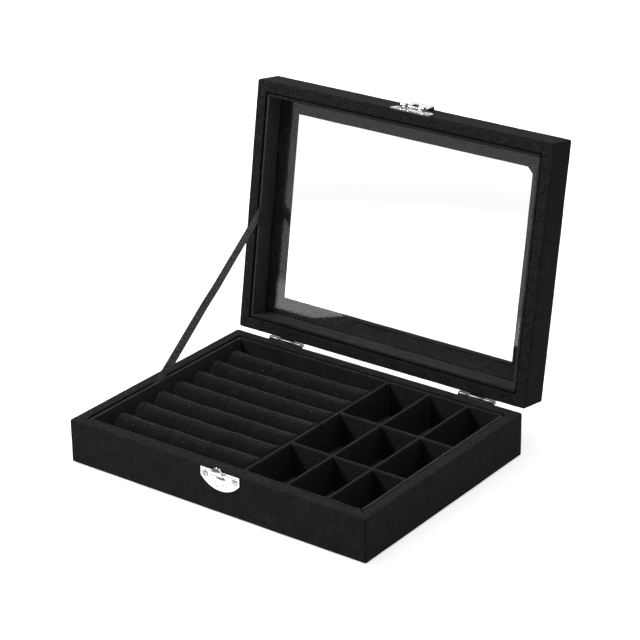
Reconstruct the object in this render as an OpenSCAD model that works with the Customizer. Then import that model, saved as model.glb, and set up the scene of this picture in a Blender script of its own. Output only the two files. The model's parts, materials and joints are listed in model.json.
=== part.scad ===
// Ring display box: a shallow velvet-covered base with ring rolls and nine cells,
// under a hinged glass lid that a ribbon holds open.
// X runs to the right along the front, Y to the back, Z up. The origin is the middle of the underside.
// Lid pieces are drawn in the closed position, and lid_open() turns them about the hinges.

/* [Box] */
// Width of the box over its cover
box_w = 200; // [170:1:260]
// Depth of the box over its cover
box_d = 150; // [130:1:190]
// Height of the base, from the table to its rim
base_h = 26.5; // [23:0.5:32]
// Height of the lid, from its rim to its top
lid_h = 19.5; // [18:0.1:24]
// Gap between the two rims when the lid is shut
rim_gap = 0.3; // [0.2:0.1:0.6]
// Angle of the lid on its ribbon, from shut
lid_angle = 99; // [92:0.1:105]

/* [Boards] */
// Thickness of the wall boards
wall_t = 5; // [4:0.5:6]
// Thickness of the bottom board
bottom_t = 2.5; // [2:0.5:4]
// Thickness of the board round the window
frame_t = 4.5; // [3:0.1:6]
// Width of the window's border, from the side of the lid
border_w = 18.5; // [15:0.5:26]

/* [Velvet cover] */
// Thickness of the velvet on the boards
skin_t = 0.7; // [0.5:0.1:0.9]
// How far the velvet is turned in past an edge
turn_in = 10; // [8:0.5:11]
// Radius of the upright corners
corner_r = 1.8; // [1.8:0.1:4]
// Radius of the padded outer edges
edge_r = 1.8; // [1.8:0.1:3.4]
// Radius of the rims' inner edges and of the base's lower edge
inner_r = 0.9; // [0.9:0.1:1.5]
// Thickness of the sheet under the base
cover_t = 0.8; // [0.5:0.1:1.5]
// How far the sheet under the base stops short of the sides
cover_inset = 1.8; // [1.5:0.1:4]

/* [Linings] */
// Thickness of the lining boards
lining_t = 1.5; // [1.2:0.1:2.5]
// Seam between a wall and its lining, which takes the ribbon
seam_w = 1.1; // [0.8:0.1:1.6]
// How far the linings stay below the rims
lining_drop = 0.5; // [0.2:0.1:1.5]
// Thickness of the lining on the floor
floor_t = 1.2; // [0.8:0.1:2]
// Clearance of boards that are pushed into place
fit = 0.1; // [0.05:0.05:0.25]

/* [Dividers] */
// Thickness of the divider beside the rolls
section_t = 2.4; // [1.8:0.1:3]
// Thickness of the dividers between the cells
divider_t = 2.2; // [1.6:0.1:3]
// How far the dividers stay below the rim
divider_drop = 1; // [0.6:0.1:3]
// Width of the cells beside the rolls
cell_left_w = 25.8; // [22:0.1:30]
// Width of the middle cells
cell_middle_w = 24; // [20:0.1:28]
// Width of the cells at the right wall
cell_right_w = 20.4; // [18:0.1:26]
// Depth of the front cells
cell_front_d = 39.5; // [30:0.1:44]
// Depth of the middle cells
cell_centre_d = 42.9; // [30:0.1:46]

/* [Ring rolls] */
// Thickness of the board under the rolls
tray_t = 1.2; // [0.8:0.1:2]
// Gap between neighbouring rolls at their foot
roll_gap = 0.5; // [0.3:0.1:1.5]
// Free space in front of the first roll and behind the last
roll_end_gap = 7.4; // [4:0.1:10]
// How far the crests of the rolls stay below the rim
roll_drop = 1.2; // [0.8:0.1:4]
// Free space at the left ends of the rolls
roll_side_gap = 6; // [3:0.5:9]
// Gap between the rolls and the divider beside them
roll_divider_gap = 0.3; // [0.2:0.1:1]

/* [Glass] */
// Thickness of the pane
glass_t = 2; // [1.5:0.1:3]
// Clearance round the pane
glass_fit = 0.3; // [0.2:0.1:1]

/* [Hinges] */
// From the left side of the box to the middle of its left hinge
hinge_left_in = 35.6; // [20:0.1:45]
// From the right side of the box to the middle of its right hinge
hinge_right_in = 30.7; // [20:0.1:45]
// Width of a hinge
hinge_w = 24; // [20:0.5:30]
// Height of one leaf
leaf_h = 9.5; // [8:0.5:10]
// Thickness of the leaves
leaf_t = 0.7; // [0.5:0.1:0.8]
// Distance of the hinge axis behind the box
hinge_back = 1.5; // [1.4:0.1:2]
// Outer radius of the knuckles
knuckle_r = 1.2; // [1.1:0.05:1.25]
// Radius of the hinge pins
hinge_pin_r = 0.55; // [0.4:0.05:0.6]
// Width of the middle knuckle
mid_knuckle_w = 9.8; // [7:0.1:12]
// Gap between neighbouring knuckles
knuckle_gap = 0.2; // [0.1:0.05:0.4]
// Distance of a hinge screw from the middle of its leaf
hinge_screw_out = 7.5; // [6.5:0.5:8]

/* [Clasp] */
// Middle of the clasp, right of the middle of the box
clasp_x = 6.2; // [-20:0.1:20]
// Width of the catch plate and of the hasp plate
plate_w = 26; // [24:0.5:32]
// Height of both plates at the middle
plate_h = 11.2; // [10:0.1:12]
// Height of both plates at their sides
plate_side_h = 4.9; // [4.5:0.1:5.4]
// Thickness of both plates
plate_t = 0.8; // [0.6:0.1:1]
// How far the plates stay from the rims
plate_drop = 0.8; // [0.6:0.1:1]
// Distance of a clasp screw from the middle
clasp_screw_out = 9.9; // [9.6:0.1:10.2]
// Distance of the clasp screws from the straight edge of their plate
clasp_screw_down = 3.3; // [3:0.1:3.6]
// Width of the hook on the catch
hook_w = 7; // [5:0.1:7.4]
// How far the hook reaches out from the cover
hook_out = 4.4; // [4.2:0.1:4.6]
// Height of the hook above the base's rim
hook_rise = 2.7; // [2:0.1:2.8]
// Radius of the round boss under the hook
boss_r = 4.2; // [3:0.1:4.5]
// Height of the boss above its plate
boss_h = 1.3; // [0.8:0.1:1.4]
// Height of the hasp's pin above the lid's rim
pin_up = 3.8; // [3.7:0.1:4.2]
// Radius of the hasp's pin
pin_r = 0.55; // [0.4:0.05:0.7]
// Outer radius of the hasp's knuckles
hasp_knuckle_r = 1.6; // [1.5:0.05:1.7]
// Width of the flap
flap_w = 13.4; // [12.8:0.1:13.6]
// Length of the flap below its pin
flap_len = 11.6; // [11:0.1:12]
// Thickness of the flap
flap_t = 0.8; // [0.6:0.05:0.85]
// Width of the flap's opening, which the hook passes through
slot_w = 8.4; // [8:0.1:8.6]
// Width of the bar across the end of the flap
bar_w = 3.5; // [2.6:0.1:3.7]
// How far the flap's lip is bent out
lip_out = 2.2; // [1.8:0.1:2.4]

/* [Small parts] */
// Radius of a screw's shank
screw_r = 0.8; // [0.6:0.05:0.9]
// Radius of a screw's head
screw_head_r = 1.6; // [1.4:0.05:1.65]
// Height of a screw's head
screw_head_h = 0.7; // [0.4:0.05:0.9]
// Length of a screw's shank
screw_len = 5.2; // [4:0.1:5.4]
// Radial clearance of screws and fixed pins in their holes
tight_fit = 0.02; // [0.01:0.01:0.05]
// Radial clearance of pins in the knuckles that turn on them
running_fit = 0.05; // [0.03:0.01:0.1]

/* [Ribbon stay] */
// Width of the ribbon
stay_w = 6; // [4:0.1:7]
// Thickness of the ribbon
stay_t = 0.5; // [0.3:0.05:0.6]
// From the hinge axis to where the ribbon leaves the base
stay_base_reach = 82; // [70:0.5:90]
// From the hinge axis to where the ribbon enters the lid
stay_lid_reach = 71.2; // [62:0.1:80]
// Length of ribbon held in the seam of the base
stay_base_tail = 16; // [12:0.5:18]
// Length of ribbon held in the seam of the lid
stay_lid_tail = 10; // [8:0.5:10.5]

/* [Hidden] */
$fn = 48;
// Past an edge by this much, so that a cut goes right through
cut = 1;
half_w = box_w / 2;
half_d = box_d / 2;
// Lid heights, in the closed position
lid_z = base_h + rim_gap;
top_z = lid_z + lid_h;
frame_z = top_z - skin_t - frame_t;
glass_top = frame_z - skin_t;
glass_z = glass_top - glass_t;
// Base heights
board_z = cover_t + skin_t;
bottom_z = board_z + bottom_t;
floor_z = bottom_z + floor_t;
tray_z = floor_z + tray_t;
lining_top = base_h - lining_drop;
divider_top = base_h - divider_drop;
lap_z = (floor_z + divider_top) / 2;
// Half widths and half depths: inner faces of the boards, of their cover, of the seam and of the linings
board_x = half_w - skin_t - wall_t;
board_y = half_d - skin_t - wall_t;
rim_x = board_x - skin_t;
rim_y = board_y - skin_t;
lining_x = rim_x - seam_w;
lining_y = rim_y - seam_w;
room_x = lining_x - lining_t;
room_y = lining_y - lining_t;
window_x = half_w - border_w;
window_y = half_d - border_w;
// Dividers, counted from the right and front walls
column_2_x = room_x - cell_right_w - divider_t / 2;
column_1_x = column_2_x - cell_middle_w - divider_t;
section_x = column_1_x - cell_left_w - (divider_t + section_t) / 2;
row_1_y = -room_y + cell_front_d + divider_t / 2;
row_2_y = row_1_y + cell_centre_d + divider_t;
// Ring rolls
roll_count = 7;
roll_pitch = (2 * (room_y - roll_end_gap) + roll_gap) / roll_count;
roll_w = roll_pitch - roll_gap;
roll_h = base_h - roll_drop - tray_z;
roll_left = -room_x + roll_side_gap;
roll_right = section_x - section_t / 2 - roll_divider_gap;
// Hinge axis and leaves
hinge_y = half_d + hinge_back;
hinge_z = base_h + rim_gap / 2;
hinge_xs = [-half_w + hinge_left_in, half_w - hinge_right_in];
leaf_start = 1.5;
leaf_screw = leaf_start + leaf_h / 2;
// Clasp, from the front face of the cover outwards
pin_out = plate_t + hasp_knuckle_r + 0.15;
pin_z = lid_z + pin_up;
ear_t = 0.8;
ear_gap = 0.2;
hook_depth = 2.9;
// A raised bead below the straight edge of the catch plate
bead_down = 1.5;
bead_w = 0.7;
bead_h = 0.3;
bead_inset = 1.2;
// The flap lies back until its lip rests on the cover
lip_y = hasp_knuckle_r + lip_out;
lip_z = flap_len - flap_t;
lip_gap = 0.15;
flap_angle = 180 + asin((pin_out - lip_gap) / norm([lip_y, lip_z])) - atan2(lip_y, lip_z);
// Ribbon, from the seam of the base to the seam of the open lid
stay_x = -lining_x - stay_t / 2;
stay_y = hinge_y - stay_base_reach;
stay_z = base_h;
stay_end_y = hinge_y - stay_lid_reach * cos(lid_angle) + rim_gap / 2 * sin(lid_angle);
stay_end_z = hinge_z + stay_lid_reach * sin(lid_angle) + rim_gap / 2 * cos(lid_angle);
stay_run = norm([stay_end_y - stay_y, stay_end_z - stay_z]);
stay_slope = atan2(stay_end_z - stay_z, stay_end_y - stay_y);

// Shared shapes

// A box from corner a to corner b
module block(a, b) {
    translate(a)
        cube([b.x - a.x, b.y - a.y, b.z - a.z]);
}

// A box centred on the Z axis, from z0 to z1
module centred_block(hx, hy, z0, z1) {
    block([-hx, -hy, z0], [hx, hy, z1]);
}

// A rectangle with round corners
module round_rect(w, d, r) {
    square([w, d - 2 * r], center = true);
    square([w - 2 * r, d], center = true);
    for (x = [-1, 1], y = [-1, 1])
        translate([x * (w / 2 - r), y * (d / 2 - r)])
            circle(r);
}

// A side view of height h, with round lower and upper corners
module round_side(w, h, r_low, r_top) {
    translate([-w / 2, r_low])
        square([w, h - r_low - r_top]);
    translate([-w / 2 + r_low, 0])
        square([w - 2 * r_low, h / 2]);
    translate([-w / 2 + r_top, h / 2])
        square([w - 2 * r_top, h / 2]);
    for (x = [-1, 1]) {
        translate([x * (w / 2 - r_low), r_low])
            circle(r_low);
        translate([x * (w / 2 - r_top), h - r_top])
            circle(r_top);
    }
}

// A drawing in X and Z, carried along Y
module along_y(length) {
    translate([0, length / 2, 0])
        rotate([90, 0, 0])
            linear_extrude(length)
                children();
}

// A drawing in Y and Z, carried along X
module along_x(length) {
    translate([-length / 2, 0, 0])
        rotate([90, 0, 90])
            linear_extrude(length)
                children();
}

// The padded outside of a box, with every edge round
module soft_block(w, d, z0, z1, r_corner, r_low, r_top) {
    translate([0, 0, z0])
        intersection() {
            linear_extrude(z1 - z0)
                round_rect(w, d, r_corner);
            along_y(d + 2 * cut)
                round_side(w, z1 - z0, r_low, r_top);
            along_x(w + 2 * cut)
                round_side(d, z1 - z0, r_low, r_top);
        }
}

// Side view of a mouth that widens over its last stretch r, with a round edge
module mouth_side(w, h, r) {
    translate([-w / 2, 0])
        square([w, h + cut]);
    difference() {
        translate([-w / 2 - r, h - r])
            square([w + 2 * r, r + cut]);
        for (x = [-1, 1])
            translate([x * (w / 2 + r), h - r])
                circle(r);
    }
}

// A straight hole of half sizes hx and hy from z0, whose mouth at z1 is rounded over
module mouth(hx, hy, z0, z1, r) {
    translate([0, 0, z0])
        intersection() {
            along_y(2 * (hy + r))
                mouth_side(2 * hx, z1 - z0, r);
            along_x(2 * (hx + r))
                mouth_side(2 * hy, z1 - z0, r);
        }
}

// A band of velvet on the inside of an opening
module inner_band(hx, hy, t, z0, z1) {
    difference() {
        centred_block(hx + t, hy + t, z0, z1);
        centred_block(hx, hy, z0 - cut, z1 + cut);
    }
}

// An upright strip of board with a round top edge, drawn along X and centred on it
module strip(length, t, z0, z1) {
    along_x(length) {
        translate([-t / 2, z0])
            square([t, z1 - z0 - t / 2]);
        translate([0, z1 - t / 2])
            circle(t / 2);
    }
}

// Turns lid pieces from the closed position to the ribbon's stop
module lid_open() {
    translate([0, hinge_y, hinge_z])
        rotate([-lid_angle, 0, 0])
            translate([0, -hinge_y, -hinge_z])
                children();
}

// Screws

// A screw along Y, with its head on the side that dir gives, seated at y = 0
module screw(dir) {
    rotate([-dir * 90, 0, 0]) {
        translate([0, 0, -screw_len])
            cylinder(h = screw_len + screw_head_h / 2, r = screw_r);
        cylinder(h = screw_head_h, r1 = screw_head_r, r2 = screw_head_r * 0.7);
    }
}

// The hole for a screw along Y, open past its head
module screw_hole(dir) {
    rotate([-dir * 90, 0, 0])
        translate([0, 0, -screw_len])
            cylinder(h = screw_len + cut, r = screw_r + tight_fit);
}

module at_hinge_screws(side) {
    for (x = hinge_xs, s = [-1, 1])
        translate([x + s * hinge_screw_out, half_d + leaf_t, hinge_z + side * leaf_screw])
            children();
}

module at_clasp_screws(edge_z, side) {
    for (s = [-1, 1])
        translate([clasp_x + s * clasp_screw_out, -half_d - plate_t, edge_z + side * clasp_screw_down])
            children();
}

module base_screw_holes() {
    at_hinge_screws(-1)
        screw_hole(1);
    at_clasp_screws(base_h - plate_drop, -1)
        screw_hole(-1);
}

module lid_screw_holes() {
    at_hinge_screws(1)
        screw_hole(1);
    at_clasp_screws(lid_z, 1)
        screw_hole(-1);
}

// Base

module base_envelope(inset) {
    soft_block(box_w - 2 * inset, box_d - 2 * inset, cover_t + inset, base_h - inset,
        corner_r - inset, inner_r - inset, edge_r - inset);
}

module base_bottom_cover() {
    color("#1d1b1e") {
        linear_extrude(cover_t)
            round_rect(box_w - 2 * cover_inset, box_d - 2 * cover_inset, corner_r);
        centred_block(half_w - turn_in - fit, half_d - turn_in - fit, cover_t / 2, board_z);
    }
}

module base_bottom_board() {
    color("#b89b6e")
        centred_block(board_x, board_y, board_z, bottom_z);
}

module base_wall(a, b) {
    color("#b89b6e")
        difference() {
            intersection() {
                base_envelope(skin_t);
                block(a, b);
            }
            base_screw_holes();
        }
}

module base_front_wall() {
    base_wall([-half_w, -half_d, 0], [half_w, -board_y, base_h]);
}

module base_back_wall() {
    base_wall([-half_w, board_y, 0], [half_w, half_d, base_h]);
}

module base_left_wall() {
    base_wall([-half_w, -board_y, 0], [-board_x, board_y, base_h]);
}

module base_right_wall() {
    base_wall([board_x, -board_y, 0], [half_w, board_y, base_h]);
}

module base_velvet_wrap() {
    color("#242226")
        difference() {
            union() {
                difference() {
                    base_envelope(0);
                    base_envelope(skin_t);
                }
                inner_band(rim_x, rim_y, skin_t, base_h - turn_in, base_h - skin_t / 2);
            }
            mouth(rim_x, rim_y, base_h - turn_in - cut, base_h, inner_r);
            centred_block(half_w - turn_in, half_d - turn_in, 0, board_z + cut);
            base_screw_holes();
        }
}

module lining_long(y, z0, z1) {
    color("#1c1a1e")
        translate([0, y, 0])
            strip(2 * lining_x, lining_t, z0, z1);
}

module lining_short(x, z0, z1) {
    color("#1c1a1e")
        translate([x, 0, 0])
            rotate([0, 0, 90])
                strip(2 * room_y, lining_t, z0, z1);
}

module base_lining_front() {
    lining_long(-room_y - lining_t / 2, bottom_z, lining_top);
}

module base_lining_back() {
    lining_long(room_y + lining_t / 2, bottom_z, lining_top);
}

module base_lining_left() {
    lining_short(-room_x - lining_t / 2, bottom_z, lining_top);
}

module base_lining_right() {
    lining_short(room_x + lining_t / 2, bottom_z, lining_top);
}

module floor_lining() {
    color("#1c1a1e")
        centred_block(room_x - fit, room_y - fit, bottom_z, floor_z);
}

// Dividers

module section_divider() {
    color("#1f1d21")
        translate([section_x, 0, 0])
            rotate([0, 0, 90])
                strip(2 * (room_y - fit), section_t, floor_z, divider_top);
}

// Runs front to back, and is slotted from above for the row dividers
module column_divider(x) {
    color("#1f1d21")
        difference() {
            translate([x, 0, 0])
                rotate([0, 0, 90])
                    strip(2 * (room_y - fit), divider_t, floor_z, divider_top);
            for (y = [row_1_y, row_2_y])
                block([x - divider_t, y - divider_t / 2 - fit, lap_z - fit / 2],
                    [x + divider_t, y + divider_t / 2 + fit, base_h]);
        }
}

// Runs left to right, and is slotted from below for the column dividers
module row_divider(y) {
    x0 = section_x + section_t / 2 + fit;
    x1 = room_x - fit;
    color("#1f1d21")
        difference() {
            translate([(x0 + x1) / 2, y, 0])
                strip(x1 - x0, divider_t, floor_z, divider_top);
            for (x = [column_1_x, column_2_x])
                block([x - divider_t / 2 - fit, y - divider_t, 0],
                    [x + divider_t / 2 + fit, y + divider_t, lap_z + fit / 2]);
        }
}

// Ring rolls

module ring_tray_board() {
    color("#1c1a1e")
        block([-room_x + fit, -room_y + fit, floor_z],
            [section_x - section_t / 2 - fit, room_y - fit, tray_z]);
}

// A padded roll on a flat foot: half an ellipse, with its ends rounded down
module ring_roll(i) {
    y = -room_y + roll_end_gap + roll_w / 2 + i * roll_pitch;
    middle = (roll_left + roll_right) / 2;
    color("#211f23")
        intersection() {
            translate([middle, y, tray_z])
                along_x(roll_right - roll_left)
                    polygon([for (a = [0:7.5:180]) [roll_w / 2 * cos(a), roll_h * sin(a)]]);
            translate([middle, y, tray_z])
                along_y(2 * roll_w)
                    round_side(roll_right - roll_left, roll_h, 0.5, roll_h / 4);
        }
}

// Hinges

// Side view of a leaf's rolled edge, seen along X, with the hinge axis at its origin
module knuckle_side() {
    circle(knuckle_r);
    polygon([[-hinge_back, -leaf_start], [-hinge_back, -0.4],
        [knuckle_r * cos(150), knuckle_r * sin(150)], [0, 0], [-hinge_back + leaf_t, -leaf_start]]);
}

// A leaf below the hinge axis, whose knuckles are as wide as the list says, from x0 to x1 each
module hinge_leaf(x, spans, bore) {
    color("#c9ccd0")
        difference() {
            union() {
                block([x - hinge_w / 2, half_d, hinge_z - leaf_start - leaf_h],
                    [x + hinge_w / 2, half_d + leaf_t, hinge_z - leaf_start]);
                for (s = spans)
                    translate([x + (s[0] + s[1]) / 2, hinge_y, hinge_z])
                        along_x(s[1] - s[0])
                            knuckle_side();
            }
            translate([x, hinge_y, hinge_z])
                rotate([0, 90, 0])
                    cylinder(h = hinge_w + 2 * cut, r = bore, center = true);
            at_hinge_screws(-1)
                screw_hole(1);
        }
}

module hinge_leaf_base(x) {
    inner = mid_knuckle_w / 2 + knuckle_gap;
    hinge_leaf(x, [[-hinge_w / 2, -inner], [inner, hinge_w / 2]], hinge_pin_r + tight_fit);
}

module hinge_leaf_lid(x) {
    translate([0, 0, 2 * hinge_z])
        mirror([0, 0, 1])
            hinge_leaf(x, [[-mid_knuckle_w / 2, mid_knuckle_w / 2]], hinge_pin_r + running_fit);
}

module hinge_pin(x) {
    color("#c9ccd0")
        translate([x, hinge_y, hinge_z])
            rotate([0, 90, 0])
                cylinder(h = hinge_w, r = hinge_pin_r, center = true);
}

module hinge_screws(side) {
    color("#c9ccd0")
        at_hinge_screws(side)
            screw(1);
}

// Clasp

// A half-moon plate: its straight edge is at height 0 and its belly hangs below
module moon() {
    sag = plate_h - plate_side_h;
    r = (pow(plate_w / 2, 2) + sag * sag) / (2 * sag);
    intersection() {
        translate([-plate_w / 2, -plate_h])
            square([plate_w, plate_h]);
        translate([0, r - plate_h])
            circle(r, $fn = 96);
    }
}

// Carries a drawing in X and Z outwards from the front face, from depth d0 to d1
module outwards(d0, d1) {
    translate([clasp_x, -half_d - d0, 0])
        rotate([90, 0, 0])
            linear_extrude(d1 - d0)
                children();
}

// Side view of the hook: out from the plate, then up. Y is negative outwards, Z is from the rim.
module hook_side() {
    t = plate_t;
    polygon([[-t / 2, -hook_depth], [-hook_out + t, -hook_depth + 0.7], [-hook_out, -hook_depth + 1.8],
        [-hook_out + 0.3, hook_rise - 1.7], [-hook_out + 1.2, hook_rise], [-hook_out + 2, hook_rise - 0.4],
        [-hook_out + t + 0.3, hook_rise - 2], [-hook_out + t, -hook_depth + 2.1],
        [-hook_out + t + 0.4, -hook_depth + 1.6], [-t / 2, -hook_depth + 0.9]]);
}

// A shallow dome on the plate
module catch_boss() {
    r = (boss_r * boss_r + boss_h * boss_h) / (2 * boss_h);
    intersection() {
        translate([clasp_x, -half_d - plate_t + r - boss_h, base_h - plate_drop - plate_h / 2])
            sphere(r, $fn = 96);
        translate([0, 0, base_h - plate_drop - plate_h / 2])
            outwards(plate_t / 2, plate_t + boss_h + cut)
                circle(boss_r);
    }
}

module catch_plate() {
    color("#d4d6d9") {
        difference() {
            translate([0, 0, base_h - plate_drop])
                outwards(0, plate_t)
                    moon();
            at_clasp_screws(base_h - plate_drop, -1)
                screw_hole(-1);
        }
        catch_boss();
        for (s = [-1, 1])
            translate([0, 0, base_h - plate_drop - bead_down])
                outwards(plate_t / 2, plate_t + bead_h)
                    translate([s * (plate_w / 2 - bead_inset + hook_w / 2) / 2, 0])
                        square([plate_w / 2 - bead_inset - hook_w / 2, bead_w], center = true);
        intersection() {
            translate([clasp_x, -half_d, base_h])
                along_x(hook_w)
                    hook_side();
            translate([0, 0, base_h])
                outwards(0, hook_out + cut) {
                    translate([0, hook_rise - hook_w / 2])
                        circle(hook_w / 2);
                    translate([-hook_w / 2, -hook_depth - cut])
                        square([hook_w, hook_depth + cut + hook_rise - hook_w / 2]);
                }
        }
    }
}

module catch_screws() {
    color("#d4d6d9")
        at_clasp_screws(base_h - plate_drop, -1)
            screw(-1);
}

// An ear of the hasp plate, seen along X, with the pin's axis at its origin
module ear_side() {
    circle(hasp_knuckle_r);
    translate([0, -hasp_knuckle_r])
        square([pin_out - plate_t / 2, 2 * hasp_knuckle_r]);
}

module hasp_plate() {
    color("#d4d6d9")
        difference() {
            union() {
                translate([0, 0, lid_z])
                    mirror([0, 0, 1])
                        outwards(0, plate_t)
                            moon();
                for (s = [-1, 1])
                    translate([clasp_x + s * (flap_w + ear_t + 2 * ear_gap) / 2, -half_d - pin_out, pin_z])
                        along_x(ear_t)
                            ear_side();
            }
            at_clasp_screws(lid_z, 1)
                screw_hole(-1);
            hasp_pin_bore(pin_r + tight_fit);
        }
}

module hasp_pin_bore(r) {
    translate([clasp_x, -half_d - pin_out, pin_z])
        rotate([0, 90, 0])
            cylinder(h = flap_w + 2 * (ear_t + ear_gap), r = r, center = true);
}

module hasp_pin() {
    color("#c9ccd0")
        hasp_pin_bore(pin_r);
}

module hasp_screws() {
    color("#d4d6d9")
        at_clasp_screws(lid_z, 1)
            screw(-1);
}

// Side view of the flap as it hangs on the shut box, with the pin's axis at its origin
module flap_side() {
    outer = -hasp_knuckle_r;
    polygon([[outer + flap_t, 0], [outer + flap_t, -flap_len + flap_t], [outer + flap_t / 2, -flap_len],
        [-lip_y, -flap_len], [-lip_y, -lip_z], [outer - 0.2, -lip_z], [outer, -lip_z + 0.3], [outer, 0]]);
}

module hasp_flap() {
    arm_w = (flap_w - slot_w) / 2;
    color("#d4d6d9")
        translate([clasp_x, -half_d - pin_out, pin_z])
            rotate([-flap_angle, 0, 0])
                difference() {
                    union() {
                        along_x(flap_w)
                            flap_side();
                        for (s = [-1, 1])
                            translate([s * (slot_w + arm_w) / 2, 0, 0])
                                rotate([0, 90, 0])
                                    cylinder(h = arm_w, r = hasp_knuckle_r, center = true);
                    }
                    block([-slot_w / 2, -lip_y - cut, bar_w - flap_len],
                        [slot_w / 2, cut, hasp_knuckle_r + cut]);
                    rotate([0, 90, 0])
                        cylinder(h = flap_w + cut, r = pin_r + running_fit, center = true);
                }
}

// Lid

module lid_envelope(inset) {
    soft_block(box_w - 2 * inset, box_d - 2 * inset, lid_z + inset, top_z - inset,
        corner_r - inset, edge_r - inset, edge_r - inset);
}

module lid_wall(a, b) {
    color("#b89b6e")
        difference() {
            intersection() {
                lid_envelope(skin_t);
                block(a, b);
            }
            lid_screw_holes();
        }
}

module lid_front_wall() {
    lid_wall([-half_w, -half_d, lid_z], [half_w, -board_y, frame_z]);
}

module lid_back_wall() {
    lid_wall([-half_w, board_y, lid_z], [half_w, half_d, frame_z]);
}

module lid_left_wall() {
    lid_wall([-half_w, -board_y, lid_z], [-board_x, board_y, frame_z]);
}

module lid_right_wall() {
    lid_wall([board_x, -board_y, lid_z], [half_w, board_y, frame_z]);
}

module lid_window_frame() {
    color("#b89b6e")
        difference() {
            intersection() {
                lid_envelope(skin_t);
                centred_block(half_w, half_d, frame_z, top_z);
            }
            centred_block(window_x + skin_t, window_y + skin_t, lid_z, top_z);
        }
}

module lid_velvet_wrap() {
    color("#242226")
        difference() {
            union() {
                difference() {
                    lid_envelope(0);
                    lid_envelope(skin_t);
                }
                inner_band(rim_x, rim_y, skin_t, lid_z + skin_t / 2, lid_z + turn_in);
                inner_band(window_x, window_y, skin_t, glass_top, top_z - skin_t / 2);
                inner_band(window_x, window_y, turn_in - skin_t, glass_top, frame_z);
            }
            translate([0, 0, lid_z])
                mirror([0, 0, 1])
                    mouth(rim_x, rim_y, -turn_in - cut, 0, inner_r);
            mouth(window_x, window_y, glass_top - cut, top_z, inner_r);
            lid_screw_holes();
        }
}

module glass_pane() {
    color("#dfeaea", 0.3)
        centred_block(rim_x - glass_fit, rim_y - glass_fit, glass_z, glass_top);
}

// The lid's linings hang from the pane, with their round edges at the rim
module lid_lining() {
    translate([0, 0, lid_z + glass_z])
        mirror([0, 0, 1])
            children();
}

module lid_lining_front() {
    lid_lining()
        lining_long(-room_y - lining_t / 2, lid_z, glass_z - lining_drop);
}

module lid_lining_back() {
    lid_lining()
        lining_long(room_y + lining_t / 2, lid_z, glass_z - lining_drop);
}

module lid_lining_left() {
    lid_lining()
        lining_short(-room_x - lining_t / 2, lid_z, glass_z - lining_drop);
}

module lid_lining_right() {
    lid_lining()
        lining_short(room_x + lining_t / 2, lid_z, glass_z - lining_drop);
}

// A flat ribbon, pulled straight between the two seams
module stay_ribbon() {
    color("#3c3a40")
        translate([stay_x, stay_y, stay_z])
            rotate([stay_slope, 0, 0])
                block([-stay_t / 2, -stay_base_tail, -stay_w / 2],
                    [stay_t / 2, stay_run + stay_lid_tail, stay_w / 2]);
}

base_bottom_cover();
base_bottom_board();
base_front_wall();
base_back_wall();
base_left_wall();
base_right_wall();
base_velvet_wrap();
base_lining_front();
base_lining_back();
base_lining_left();
base_lining_right();
floor_lining();
section_divider();
column_divider(column_1_x);  // column_divider_1
column_divider(column_2_x);  // column_divider_2
row_divider(row_1_y);  // row_divider_1
row_divider(row_2_y);  // row_divider_2
ring_tray_board();
for (i = [0:roll_count - 1])
    ring_roll(i);
catch_plate();
catch_screws();
hinge_leaf_base(hinge_xs[0]);  // hinge_leaf_base_left
hinge_leaf_base(hinge_xs[1]);  // hinge_leaf_base_right
hinge_pin(hinge_xs[0]);  // hinge_pin_left
hinge_pin(hinge_xs[1]);  // hinge_pin_right
hinge_screws(-1);  // hinge_screws_base
stay_ribbon();
lid_open() lid_front_wall();
lid_open() lid_back_wall();
lid_open() lid_left_wall();
lid_open() lid_right_wall();
lid_open() lid_window_frame();
lid_open() lid_velvet_wrap();
lid_open() glass_pane();
lid_open() lid_lining_front();
lid_open() lid_lining_back();
lid_open() lid_lining_left();
lid_open() lid_lining_right();
lid_open() hinge_leaf_lid(hinge_xs[0]);  // hinge_leaf_lid_left
lid_open() hinge_leaf_lid(hinge_xs[1]);  // hinge_leaf_lid_right
lid_open() hinge_screws(1);  // hinge_screws_lid
lid_open() hasp_plate();
lid_open() hasp_pin();
lid_open() hasp_screws();
lid_open() hasp_flap();
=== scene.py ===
import json
import math

import bmesh
import bpy
import numpy as np
from mathutils import Matrix, Vector


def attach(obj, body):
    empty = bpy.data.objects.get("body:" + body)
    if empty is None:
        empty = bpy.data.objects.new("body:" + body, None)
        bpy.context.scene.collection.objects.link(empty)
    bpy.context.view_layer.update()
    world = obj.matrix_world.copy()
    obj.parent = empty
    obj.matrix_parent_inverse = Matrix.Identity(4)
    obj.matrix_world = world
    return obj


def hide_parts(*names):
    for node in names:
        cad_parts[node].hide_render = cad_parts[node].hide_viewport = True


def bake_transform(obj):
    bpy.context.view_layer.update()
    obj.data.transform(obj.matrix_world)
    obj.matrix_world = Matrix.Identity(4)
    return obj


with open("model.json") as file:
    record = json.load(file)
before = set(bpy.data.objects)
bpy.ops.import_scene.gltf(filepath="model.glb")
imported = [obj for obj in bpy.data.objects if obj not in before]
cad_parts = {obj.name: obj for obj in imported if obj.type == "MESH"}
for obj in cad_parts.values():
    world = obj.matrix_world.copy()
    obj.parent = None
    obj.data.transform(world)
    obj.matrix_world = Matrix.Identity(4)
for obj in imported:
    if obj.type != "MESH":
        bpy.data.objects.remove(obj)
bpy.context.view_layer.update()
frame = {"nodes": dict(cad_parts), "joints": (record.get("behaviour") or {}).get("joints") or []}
mm = 0.001
print("ring box: frame loaded,", len(frame["nodes"]), "nodes")

# Camera, at the photograph's viewpoint

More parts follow.
